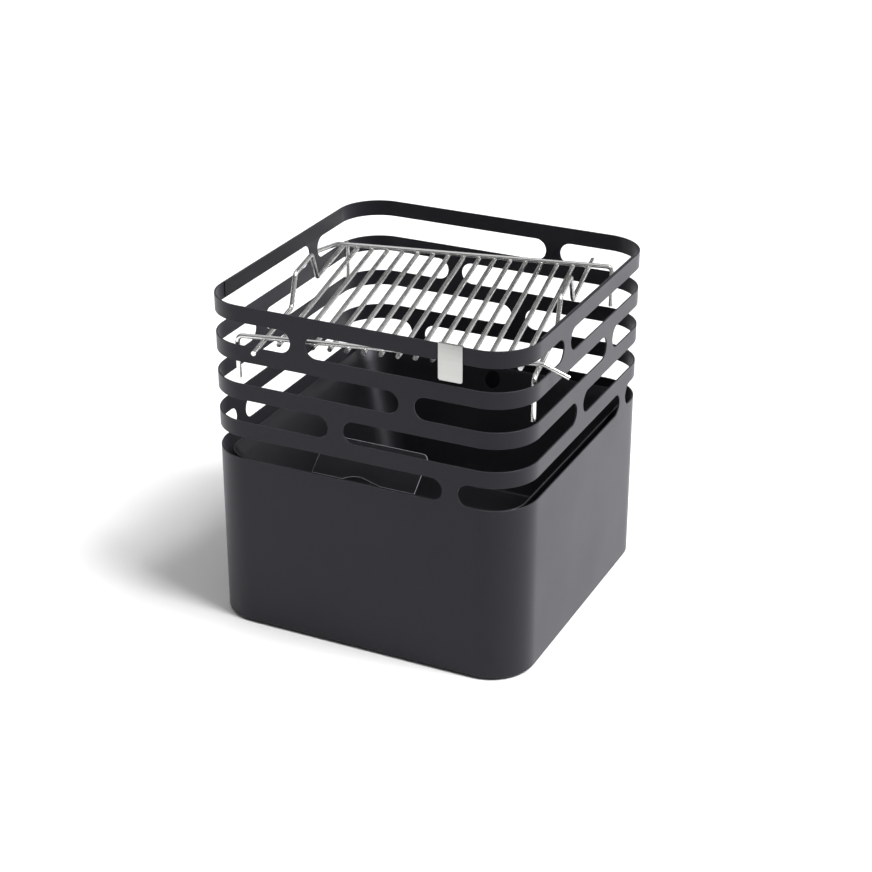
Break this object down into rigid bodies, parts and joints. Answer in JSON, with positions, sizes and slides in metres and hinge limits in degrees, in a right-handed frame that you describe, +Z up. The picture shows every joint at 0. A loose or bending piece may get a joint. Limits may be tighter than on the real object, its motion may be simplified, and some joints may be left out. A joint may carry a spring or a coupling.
{
  "type": "fire pit with grate",
  "caption": "Square garden fire basket in dark coated sheet steel with slotted walls, a lift-out fire bowl and a hook-in stainless cooking grate.",
  "frame": {"origin": "On the ground, under the centre of the basket.", "axes": "X runs to the right along the front face, which carries the tag. Y runs from the front to the back. Z is up."},
  "size_m": [0.466, 0.4646, 0.431],
  "materials": {
    "shell_coating": "matt powder coat",
    "bowl_coating": "matt heat-proof coat",
    "stainless_wire": "bright drawn wire",
    "tag_steel": "satin",
    "strip_steel": "matt powder coat",
    "screw_steel": "zinc plated",
    "foot_plastic": "moulded"
  },
  "bodies": {
    "shell": {"base_plate": "shell_coating", "bowl_bracket_back": "shell_coating", "bowl_bracket_front": "shell_coating", "bowl_bracket_left": "shell_coating", "bowl_bracket_right": "shell_coating", "foot_back_left": "foot_plastic", "foot_back_right": "foot_plastic", "foot_front_left": "foot_plastic", "foot_front_right": "foot_plastic", "foot_screws": "screw_steel", "rim_strip_left": "strip_steel", "rim_strip_right": "strip_steel", "rim_tag": "tag_steel", "shell_band_high": "shell_coating", "shell_band_low": "shell_coating", "shell_band_middle": "shell_coating", "shell_lower_wall": "shell_coating", "shell_rim_band": "shell_coating", "shell_webs_row_1": "shell_coating", "shell_webs_row_2": "shell_coating", "shell_webs_row_3": "shell_coating", "shell_webs_row_4": "shell_coating"},
    "fire_bowl": {"bowl_corner_back_left": "bowl_coating", "bowl_corner_back_right": "bowl_coating", "bowl_corner_front_left": "bowl_coating", "bowl_corner_front_right": "bowl_coating", "bowl_floor": "bowl_coating", "bowl_grip_tab": "bowl_coating", "bowl_wall_back": "bowl_coating", "bowl_wall_front": "bowl_coating", "bowl_wall_left": "bowl_coating", "bowl_wall_right": "bowl_coating"},
    "grate": {"grate_bar_01": "stainless_wire", "grate_bar_02": "stainless_wire", "grate_bar_03": "stainless_wire", "grate_bar_04": "stainless_wire", "grate_bar_05": "stainless_wire", "grate_bar_06": "stainless_wire", "grate_bar_07": "stainless_wire", "grate_bar_08": "stainless_wire", "grate_bar_09": "stainless_wire", "grate_bar_10": "stainless_wire", "grate_bar_11": "stainless_wire", "grate_bar_12": "stainless_wire", "grate_bar_13": "stainless_wire", "grate_bar_14": "stainless_wire", "grate_bar_15": "stainless_wire", "grate_cross_rod_back": "stainless_wire", "grate_cross_rod_front": "stainless_wire", "grate_edge_wire_left": "stainless_wire", "grate_edge_wire_right": "stainless_wire"}
  },
  "joints": [
    {"name": "bowl_lift", "type": "slide", "parent": "shell", "child": "fire_bowl", "axis": [0, 0, 1], "range_m": [0, 0.1]},
    {"name": "grate_lift", "type": "slide", "parent": "shell", "child": "grate", "axis": [0, 0, 1], "range_m": [0, 0.017]}
  ]
}
